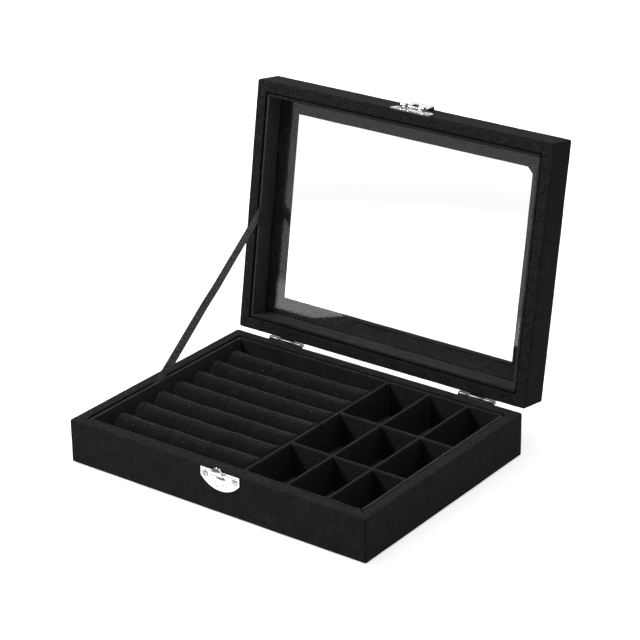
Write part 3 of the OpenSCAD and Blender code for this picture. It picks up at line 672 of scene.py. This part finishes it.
velvets = {  # dark and light are the tones of the pile as it lies one way and the other
    "velvetCover": {"dark": 0.004, "light": 0.0165, "fuzz": 0.18, "sheen": 0.14},
    "velvetLid": {"dark": 0.004, "light": 0.0165, "fuzz": 0.18, "sheen": 0.09},
    "velvetLining": {"dark": 0.009, "light": 0.024, "fuzz": 0.06, "sheen": 0.15, "lint": 0.3},
    # lighter than the other linings: painted light on the side strips, which the lamps leave in shade
    "velvetSideLiningPaintedLight": {"dark": 0.024, "light": 0.05, "fuzz": 0.06, "sheen": 0.2, "lint": 0.3},
    # the divider and the floor are lighter than the cover: painted light that lifts the shade in the cells
    "velvetDividerPaintedLight": {"dark": 0.0085, "light": 0.021, "sheen": 0.17},
    "velvetFloorPaintedLight": {"dark": 0.03, "light": 0.06, "fuzz": 0.06, "sheen": 0.15, "lint": 0.3},
    "velvetRoll": {"dark": 0.004, "light": 0.012, "fuzz": 0.14, "sheen": 0.14, "patch": 90.0},
}
metals = {
    "brightNickel": {"metal": (0.88, 0.865, 0.845), "roughness": 0.15, "wear": 0.25, "dirtAndShade": claspDirtAndShade()},
    "hingeNickel": {"metal": (0.15, 0.15, 0.145), "roughness": 0.26, "wear": 0.1},
    "screwNickel": {"metal": (0.62, 0.61, 0.59), "roughness": 0.16, "wear": 0.2},
    "wireSteel": {"metal": (0.34, 0.34, 0.34), "roughness": 0.2, "wear": 0.3},
}
finish = {name: velvetMaterial(name, **values) for name, values in velvets.items()}
finish.update({name: metalMaterial(name, **values) for name, values in metals.items()})
felt = fibreMaterial("felt", 700.0, 5.0, 1.2, (0.012, 0.012, 0.013), (0.03, 0.029, 0.031),
                     0.95, 0.2, 0.1 * mm)
greyboard = fibreMaterial("greyboard", 1600.0, 3.0, 0.0, (0.05, 0.04, 0.032), (0.095, 0.075, 0.058),
                          0.85, 0, 0.03 * mm)
clearGlass = glassMaterial()
grosgrain = ribbonMaterial()
print("ring box: materials made")

# The covers of the base and the lid

line, halfW, halfD = baseSkinLine()
baseCover = skinSurface("baseCover", line, halfW, halfD, 11, 1, velvetSkin["baseRubAndHighlight"],
                        velvetSkin["baseCrease"])
finishPiece(baseCover, "base", finish["velvetCover"], ["base_velvet_wrap"])

line, halfW, halfD, border = lidSkinLine()
lidCover = skinSurface("lidCover", line, halfW, halfD, 23, -1, velvetSkin["lidRubAndHighlight"],
                       velvetSkin["lidCrease"], border, opened)
finishPiece(lidCover, "lid", finish["velvetLid"], ["lid_velvet_wrap"])
print("ring box: covers made")

# Linings and dividers


def makeBoard(node, body, material, seed, inLid=False, press=0.0):
    # A board where its node is; one of the lid's has its crest downwards while the lid is shut
    low, high = nodeBox(node, inLid)
    size, middle = high - low, (high + low) / 2
    alongX = size[0] > size[1]
    length = size[0] if alongX else size[1]
    side = 1 if alongX else 0
    thickness = size[side] + press
    middle[side] += np.sign(middle[side]) * press / 2

    def place(points):
        p = points.copy()
        if inLid:
            p[..., 2] = low[2] + high[2] - p[..., 2]
        if not alongX:
            p[..., 0], p[..., 1] = -p[..., 1].copy(), p[..., 0].copy()
        p[..., 0] += middle[0]
        p[..., 1] += middle[1]
        return opened(p) if inLid else p

    piece = boardSurface(node + "_velvet", length, thickness, low[2], high[2], seed, place)
    return finishPiece(piece, body, material, [node])


for i, side in enumerate(("front", "back", "left", "right")):
    liningVelvet = finish["velvetLining" if i < 2 else "velvetSideLiningPaintedLight"]  # the side strips are lighter: painted light on the sides that the lamps leave in shade
    makeBoard("base_lining_" + side, "base", liningVelvet, 31 + i, press=boardShape["press"])
    makeBoard("lid_lining_" + side, "lid", liningVelvet, 41 + i, True, boardShape["press"])
makeBoard("section_divider", "base", finish["velvetDividerPaintedLight"], 51)
print("ring box: linings made")

# Ring rolls: velvet tubes, which are stuffed by a short cloth simulation

rollShape = {
    "endRound": 2.8 * mm,
    "startWidth": 0.9,  # of the width that it has when stuffed
    "startHeight": 1.02,
    "enlarge": 25,  # the simulation runs on a copy this many times as big
    "pressure": 4,
    "slack": 0.015,  # spare cloth, as a share
    "mostMove": 1.2 * mm,
    "steps": 20,
    "sideFrom": 0.86,  # of the half width: past it the sides flatten
    "topFrom": 0.95,  # of the height: past it the top flattens
}


def rollGrid(node, seed, cfg=rollShape):
    # A tube along X: an arch on a flat foot, smaller towards both ends as a quarter circle is
    low, high = nodeBox(node)
    length, width, height = high - low
    t = np.linspace(0, 1, 82)
    along = length * (0.3 * (0.5 - 0.5 * np.cos(math.pi * t)) + 0.7 * t)
    fromEnd = np.minimum(along, length - along)
    full = np.sqrt(np.clip(1 - (1 - np.clip(fromEnd / cfg["endRound"], 0, 1)) ** 2, 0, 1))[:, None]
    angle = np.linspace(0, math.pi, 36)
    arch = np.stack([np.cos(angle), np.sin(angle)], 1)
    foot = np.stack([np.linspace(-1, 1, 14)[1:-1], np.zeros(12)], 1)
    loop = np.concatenate([arch, foot])
    points = np.empty((len(t), len(loop), 3))
    points[..., 0] = low[0] + along[:, None]
    across = width / 2 * cfg["startWidth"] * (0.9 + 0.1 * full)
    points[..., 1] = (low[1] + high[1]) / 2 + loop[:, 0] * across
    points[..., 2] = low[2] + loop[:, 1] * height * cfg["startHeight"] * (0.84 + 0.16 * full)
    points[..., 1] += 0.35 * mm * softNoise(points, 30 * mm, seed) * loop[:, 1]
    return points, loop


def makeRoll(node, seed):
    points, loop = rollGrid(node, seed)
    countU, countV = points.shape[:2]
    # the crest is lightened: wear and a painted highlight
    rubAndHighlight = np.broadcast_to(smoothStep(loop[:, 1], 0.9, 1), (countU, countV))
    caps = [list(range(countV)), list(range((countU - 1) * countV, countU * countV))[::-1]]
    roll = makePiece(node + "_padding", points, gridFaces(countU, countV, False, True), caps, {"rubAndHighlight": rubAndHighlight})
    foot = np.tile(loop[:, 1] < 0.02, countU)
    foot[:countV] = foot[-countV:] = True
    roll.vertex_groups.new(name="glued").add(np.flatnonzero(foot).tolist(), 1, "REPLACE")
    return roll


def stuffRolls(rolls, cfg=rollShape):
    # Pressure swells the tubes, which are glued along the foot and at both ends; the spare cloth puckers
    before = [meshPoints(roll.data) for roll in rolls]
    for roll, start in zip(rolls, before):
        big = start * cfg["enlarge"] + np.random.default_rng(5).normal(scale=0.002, size=start.shape)
        roll.data.vertices.foreach_set("co", big.ravel())
        roll.data.update()
        cloth = roll.modifiers.new("stuffing", "CLOTH")
        values = cloth.settings
        values.quality, values.mass = 6, 0.3
        values.tension_stiffness = values.compression_stiffness = 15
        values.shear_stiffness, values.bending_stiffness = 5, 0.5
        values.use_pressure, values.uniform_pressure_force = True, cfg["pressure"]
        values.shrink_min = values.shrink_max = -cfg["slack"]
        values.vertex_group_mass = "glued"
        values.effector_weights.gravity = 0
        cloth.point_cache.frame_start, cloth.point_cache.frame_end = 1, cfg["steps"]
    for step in range(1, cfg["steps"] + 1):
        bpy.context.scene.frame_set(step)
    graph = bpy.context.evaluated_depsgraph_get()
    after = [meshPoints(roll.evaluated_get(graph).data) / cfg["enlarge"] for roll in rolls]
    for roll, start, end in zip(rolls, before, after):
        roll.modifiers.clear()
        move = end - start
        reach = np.linalg.norm(move, axis=1, keepdims=True)
        move *= np.minimum(1, cfg["mostMove"] / np.maximum(reach, 1e-9))
        roll.data.vertices.foreach_set("co", (start + move).ravel())
        roll.data.update()
    bpy.context.scene.frame_set(1)


def flattened(share, start):
    # A share that is over start eases towards 1 by a hyperbolic tangent
    rest = 1 - start
    past = np.maximum(np.abs(share) - start, 0)
    return np.sign(share) * (np.minimum(np.abs(share), start) + rest * np.tanh(past / rest))


def fitRoll(roll, node, cfg=rollShape):
    # Keeps a stuffed roll in its own space: its sides flatten softly where the next roll lies
    low, high = nodeBox(node)
    points = meshPoints(roll.data)
    middle, half = (low[1] + high[1]) / 2, (high[1] - low[1]) / 2
    points[:, 1] = middle + half * flattened((points[:, 1] - middle) / half, cfg["sideFrom"])
    tall = high[2] - low[2]
    points[:, 2] = low[2] + tall * flattened((points[:, 2] - low[2]) / tall, cfg["topFrom"])
    roll.data.vertices.foreach_set("co", points.ravel())
    roll.data.update()
    smooth = roll.modifiers.new("smooth", "SUBSURF")
    smooth.levels = smooth.render_levels = 1


rollNodes = [f"ring_roll_{i + 1}" for i in range(7)]
rolls = [makeRoll(node, 60 + 5 * i) for i, node in enumerate(rollNodes)]
stuffRolls(rolls)
for roll, node in zip(rolls, rollNodes):
    fitRoll(roll, node)
    finishPiece(roll, "base", finish["velvetRoll"], [node])
print("ring box: rolls stuffed")

for i, node in enumerate(("column_divider_1", "column_divider_2", "row_divider_1", "row_divider_2")):
    makeBoard(node, "base", finish["velvetDividerPaintedLight"], 101 + i)
print("ring box: dividers made")

# Ribbon stay

ribbonShape = {
    "thickness": 0.34 * mm,
    "sideStep": 0.26 * mm,  # how far the lower and the upper half lie apart, so that they pass when folded
    "ribPitch": 0.6 * mm,
    "acrossCount": 14,
    "lowTwist": -13,  # degrees that it turns above the base and below the lid, so that its face shows
    "highTwist": -4,
}


def makeRibbon(cfg=ribbonShape):
    # A flat strip along the node's own long direction, as wide as the node, closed round its thin edges
    corners = nodePoints("stay_ribbon")
    middle = corners.mean(0)
    spread = np.linalg.svd((corners - middle)[:, 1:], full_matrices=False)[2]
    run = np.array([0, *spread[0]]) * (1 if spread[0][1] > 0 else -1)
    across = np.array([0, -run[2], run[1]])
    reach = np.abs((corners - middle) @ run).max()
    half = np.abs((corners - middle) @ across).max()
    rimZ = nodeBox("base_velvet_wrap")[1][2]
    seam = middle + run * ((rimZ - middle[2]) / run[2])
    rimOpen = opened(np.array([0, 0, nodeBox("lid_velvet_wrap", True)[0][2]]))
    rimWay = opened(np.array([0, -1.0, 0])) - opened(np.zeros(3))
    rimNormal = np.array([0, -rimWay[2], rimWay[1]])
    far = middle + run * (((rimOpen - middle) @ rimNormal) / (run @ rimNormal))
    count = 300
    along = np.linspace(-reach, reach, count)
    n = cfg["acrossCount"]
    side = np.linspace(-1, 1, n)
    face = np.sqrt(np.clip(1 - np.abs(side) ** 8, 0, 1))
    loop = np.concatenate([np.stack([side, face], 1), np.stack([side[::-1], -face[::-1]], 1)[1:-1]])
    base = middle + run * along[:, None]
    free = (base - seam) @ (far - seam) / np.dot(far - seam, far - seam)
    w = smoothStep(free, 0.42, 0.58)
    held = smoothStep(free, 0.0, 0.09) * (1 - smoothStep(free, 0.91, 1.0))
    twist = cfg["lowTwist"] + (cfg["highTwist"] - cfg["lowTwist"]) * smoothStep(free, 0, 1)
    turn = np.radians(twist) * held
    wide = np.cos(turn)[:, None] * across + np.sin(turn)[:, None] * np.array([1.0, 0, 0])
    flat = np.cos(turn)[:, None] * np.array([1.0, 0, 0]) - np.sin(turn)[:, None] * across
    points = base[:, None, :] + wide[:, None, :] * (loop[None, :, 0] * half)[..., None]
    points += flat[:, None, :] * (loop[None, :, 1] * cfg["thickness"] / 2)[..., None]
    onEdge = half * np.abs(np.sin(turn))  # it turns about its outer edge
    points[..., 0] += ((w * 2 - 1) * cfg["sideStep"] + onEdge)[:, None]
    # on the ribbon this layer marks its edges, which its material darkens
    rubAndHighlight = np.broadcast_to(smoothStep(np.abs(loop[None, :, 0]), 0.72, 0.95), points.shape[:2])
    caps = [list(range(len(loop))), list(range((count - 1) * len(loop), count * len(loop)))[::-1]]
    piece = makePiece("stayRibbon", points, gridFaces(count, len(loop), False, True), caps, {"rubAndHighlight": rubAndHighlight})
    uv = piece.data.uv_layers.new(name="weave")
    u = np.repeat(along / cfg["ribPitch"], len(loop))
    v = np.tile(loop[:, 0], count)
    corner = np.empty(len(piece.data.loops), int)
    piece.data.loops.foreach_get("vertex_index", corner)
    uv.data.foreach_set("uv", np.stack([u[corner], v[corner]], 1).ravel())
    piece.data.materials.append(grosgrain)
    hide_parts("stay_ribbon")
    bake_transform(piece)
    return piece


makeRibbon()
print("ring box: ribbon made")

# Metal parts, as copies of the frame's solids with their edges rounded

metalParts = {
    "catch_plate": ("base", "brightNickel", "clasp_metal", 0.12 * mm),
    "hasp_plate": ("lid", "brightNickel", "clasp_metal", 0.12 * mm),
    "hasp_pin": ("lid", "wireSteel", "pin_metal", 0.06 * mm),
    "hasp_flap": ("hasp_flap", "brightNickel", "clasp_metal", 0.12 * mm),
}
for side in ("left", "right"):
    metalParts["hinge_leaf_base_" + side] = ("base", "hingeNickel", "hinge_metal", 0.1 * mm)
    metalParts["hinge_leaf_lid_" + side] = ("lid", "hingeNickel", "hinge_metal", 0.1 * mm)
    metalParts["hinge_pin_" + side] = ("base", "wireSteel", "pin_metal", 0.1 * mm)


def roundedCopy(node, body, material, edge):
    source = frame["nodes"][node]
    mesh = source.data.copy()
    piece = bpy.data.objects.new(node + "_plated", mesh)
    bpy.context.scene.collection.objects.link(piece)
    work = bmesh.new()
    work.from_mesh(mesh)
    bmesh.ops.remove_doubles(work, verts=work.verts, dist=0.002 * mm)
    bmesh.ops.dissolve_limit(work, angle_limit=math.radians(1), verts=work.verts, edges=work.edges)
    sharp = [e for e in work.edges if len(e.link_faces) == 2 and e.calc_face_angle(0) > math.radians(35)]
    bmesh.ops.bevel(work, geom=sharp, offset=edge, offset_type="OFFSET", segments=2, profile=0.6,
                    affect="EDGES", clamp_overlap=True)
    work.to_mesh(mesh)
    work.free()
    mesh.polygons.foreach_set("use_smooth", np.ones(len(mesh.polygons), bool))
    mesh.set_sharp_from_angle(angle=math.radians(38))
    return finishPiece(piece, body, material, [node])


for node, (body, metal, slotName, edge) in metalParts.items():
    roundedCopy(node, body, finish[metal], edge)

screwShape = {
    "turns": 40,
    "rings": 22,
    "innerRing": 0.04,  # of the head's radius
    "headHeight": 0.7 * mm,
    "edgeHeight": 0.16 * mm,
    "recessDepth": 0.4 * mm,
    "recessReach": 0.66,  # of the head's radius
    "recessWidth": 0.15,
    "shankRadius": 0.75 * mm,
}


def screwSurface(middle, out, headRadius, length, turn, cfg=screwShape):
    # A profile turned about the screw's axis: a domed head with a cross pressed into it, and a pointed shank
    rings = np.linspace(cfg["innerRing"], 1, cfg["rings"])
    r = np.concatenate([rings * headRadius, [headRadius, cfg["shankRadius"], cfg["shankRadius"], 0.05 * mm]])
    dome = np.sqrt(np.clip(1 - rings ** 2.4, 0, 1))
    h = np.concatenate([cfg["edgeHeight"] + (cfg["headHeight"] - cfg["edgeHeight"]) * dome,
                        [0, 0, -0.8 * length, -length]])
    angle = np.linspace(0, 2 * math.pi, cfg["turns"], endpoint=False)
    u, v = r * np.cos(angle)[:, None] / headRadius, r * np.sin(angle)[:, None] / headRadius
    cross = 0
    for a, b in ((u, v), (v, u)):
        arm = (1 - smoothStep(np.abs(a), cfg["recessReach"] - 0.1, cfg["recessReach"])) \
            * (1 - smoothStep(np.abs(b), cfg["recessWidth"] - 0.05, cfg["recessWidth"] + 0.05))
        cross = np.maximum(cross, arm)
    height = h - cfg["recessDepth"] * cross * (np.arange(len(r)) < cfg["rings"])
    c, s = math.cos(turn), math.sin(turn)
    points = np.empty((*u.shape, 3))
    points[..., 0] = middle[0] + (u * c - v * s) * headRadius
    points[..., 1] = middle[1] + out * height
    points[..., 2] = middle[2] + (u * s + v * c) * headRadius
    return points


def makeScrews(node, body, inLid=False, cfg=screwShape):
    # One mesh with every screw of the node, each where its solid is
    allPoints, faces, caps, count = [], [], [], 0
    for i, (middle, out, radius, length) in enumerate(screwPlaces(node, inLid, cfg["headHeight"])):
        grid = screwSurface(middle, out, radius, length, 0.5 + 1.9 * i)
        n, m = grid.shape[:2]
        part = gridFaces(n, m, True, False)
        inwards = signedVolume(grid.reshape(-1, 3) - middle, part) < 0
        part = part[:, ::-1] if inwards else part
        ends = [[j * m for j in range(n)], [j * m + m - 1 for j in range(n)][::-1]]
        ends = ends if inwards else [e[::-1] for e in ends]
        faces.append(part + count)
        caps += [[v + count for v in e] for e in ends]
        allPoints.append(grid.reshape(-1, 3))
        count += n * m
    placed = np.concatenate(allPoints)
    placed = opened(placed) if inLid else placed
    mesh = bpy.data.meshes.new(node + "_heads")
    mesh.from_pydata(placed.tolist(), [], np.concatenate(faces).tolist() + caps)
    mesh.update()
    mesh.polygons.foreach_set("use_smooth", np.ones(len(mesh.polygons), bool))
    mesh.set_sharp_from_angle(angle=math.radians(50))
    piece = bpy.data.objects.new(node + "_heads", mesh)
    bpy.context.scene.collection.objects.link(piece)
    return finishPiece(piece, body, finish["screwNickel"], [node])


makeScrews("catch_screws", "base")
makeScrews("hasp_screws", "lid", True)
makeScrews("hinge_screws_base", "base")
makeScrews("hinge_screws_lid", "lid", True)
print("ring box: metal parts made")

# Nodes of the frame that show as they are

plainNodes = {
    "base_bottom_cover": felt,
    "base_bottom_board": greyboard,
    "floor_lining": finish["velvetFloorPaintedLight"],
    "ring_tray_board": finish["velvetLining"],
    "glass_pane": clearGlass,
    "lid_window_frame": greyboard,
}
for part in ("base", "lid"):
    for side in ("front", "back", "left", "right"):
        plainNodes[f"{part}_{side}_wall"] = greyboard
for node, material in plainNodes.items():
    data = frame["nodes"][node].data
    data.materials.clear()
    data.materials.append(material)

# Floor, world and lamps

studio = {
    "whiteAdd": 0.66,  # white added to the floor near the box, seen straight, in metal or through glass
    "whiteFar": 1.0,  # and far from it
    "brightFloor": 0.33,  # metres round the box where polished things see a bright floor
    "dimFloor": 0.42,  # metres past which they see a dim one
    "softWorld": 0.3,
    "frontGlow": 0.14,  # how bright polished things see the room in front of the box
    "lamps": {
        "keyLamp": {"place": (-0.95, -0.75, 1.2), "size": 0.45, "watts": 18},
        "topLamp": {"place": (0.1, 0.25, 1.5), "size": 1.2, "watts": 5},
    },
}


def makeFloor(cfg):
    bpy.ops.mesh.primitive_plane_add(size=9, location=(0, 0, 0))
    floor = bpy.context.object
    floor.name = "floor"
    material, tree, shader, coordinates = newMaterial("paleFloor")
    light = tree.nodes.new("ShaderNodeLightPath")
    away = addNode(tree, "ShaderNodeVectorMath", {0: coordinates}, operation="LENGTH").outputs["Value"]
    near = mapRange(tree, away, cfg["brightFloor"], cfg["dimFloor"], 1.0, 0.0)
    glossy = light.outputs["Is Glossy Ray"]
    dim = mathNode(tree, "MULTIPLY", glossy, mathNode(tree, "SUBTRACT", 1.0, near))
    color = mixColor(tree, mathNode(tree, "MULTIPLY", dim, 0.85), rgb(0.9, 0.9, 0.9), rgb(0, 0, 0))
    seen = mathNode(tree, "MAXIMUM", light.outputs["Is Camera Ray"], light.outputs["Is Transmission Ray"])
    seen = mathNode(tree, "MAXIMUM", seen, mathNode(tree, "MULTIPLY", glossy, near))
    tree.links.new(color, shader.inputs["Base Color"])
    shader.inputs["Roughness"].default_value = 0.9
    shader.inputs["Specular IOR Level"].default_value = 0.1
    shader.inputs["Emission Color"].default_value = rgb(1, 1, 1)
    added = mapRange(tree, away, 0.26, 0.5, cfg["whiteAdd"], cfg["whiteFar"])
    tree.links.new(mathNode(tree, "MULTIPLY", seen, added), shader.inputs["Emission Strength"])
    floor.data.materials.append(material)


def makeWorld(cfg):
    # White where it is seen straight or through glass, soft for the light, and for polished things
    # white behind the box and dim in front of it, as a studio is
    world = bpy.data.worlds.new("studio")
    bpy.context.scene.world = world
    world.use_nodes = True
    tree = world.node_tree
    light = tree.nodes.new("ShaderNodeLightPath")
    sky = tree.nodes.new("ShaderNodeTexCoord").outputs["Generated"]
    way = addNode(tree, "ShaderNodeSeparateXYZ", {0: sky})
    behind = mapRange(tree, way.outputs["Y"], -0.3, 0.25, cfg["frontGlow"], 1.0)
    glossy = light.outputs["Is Glossy Ray"]
    strength = addNode(tree, "ShaderNodeMix", {0: glossy, 2: cfg["softWorld"], 3: behind})
    seen = mathNode(tree, "MAXIMUM", light.outputs["Is Camera Ray"], light.outputs["Is Transmission Ray"])
    strength = addNode(tree, "ShaderNodeMix", {0: seen, 2: strength.outputs[0], 3: 1.0})
    background = tree.nodes["Background"]
    background.inputs["Color"].default_value = rgb(1, 1, 1)
    tree.links.new(strength.outputs[0], background.inputs["Strength"])


def makeLamps(cfg):
    for name, values in cfg["lamps"].items():
        lamp = bpy.data.lights.new(name, "AREA")
        lamp.shape = "SQUARE"
        lamp.size = values["size"]
        lamp.energy = values["watts"]
        holder = bpy.data.objects.new(name, lamp)
        bpy.context.scene.collection.objects.link(holder)
        holder.location = values["place"]
        holder.rotation_mode = "QUATERNION"
        away = Vector(values["place"]) - Vector((0, 0, 0.05))
        holder.rotation_quaternion = away.to_track_quat("Z", "Y")


makeFloor(studio)
makeWorld(studio)
makeLamps(studio)
bpy.context.scene.view_settings.view_transform = "Standard"
print("ring box: studio made")
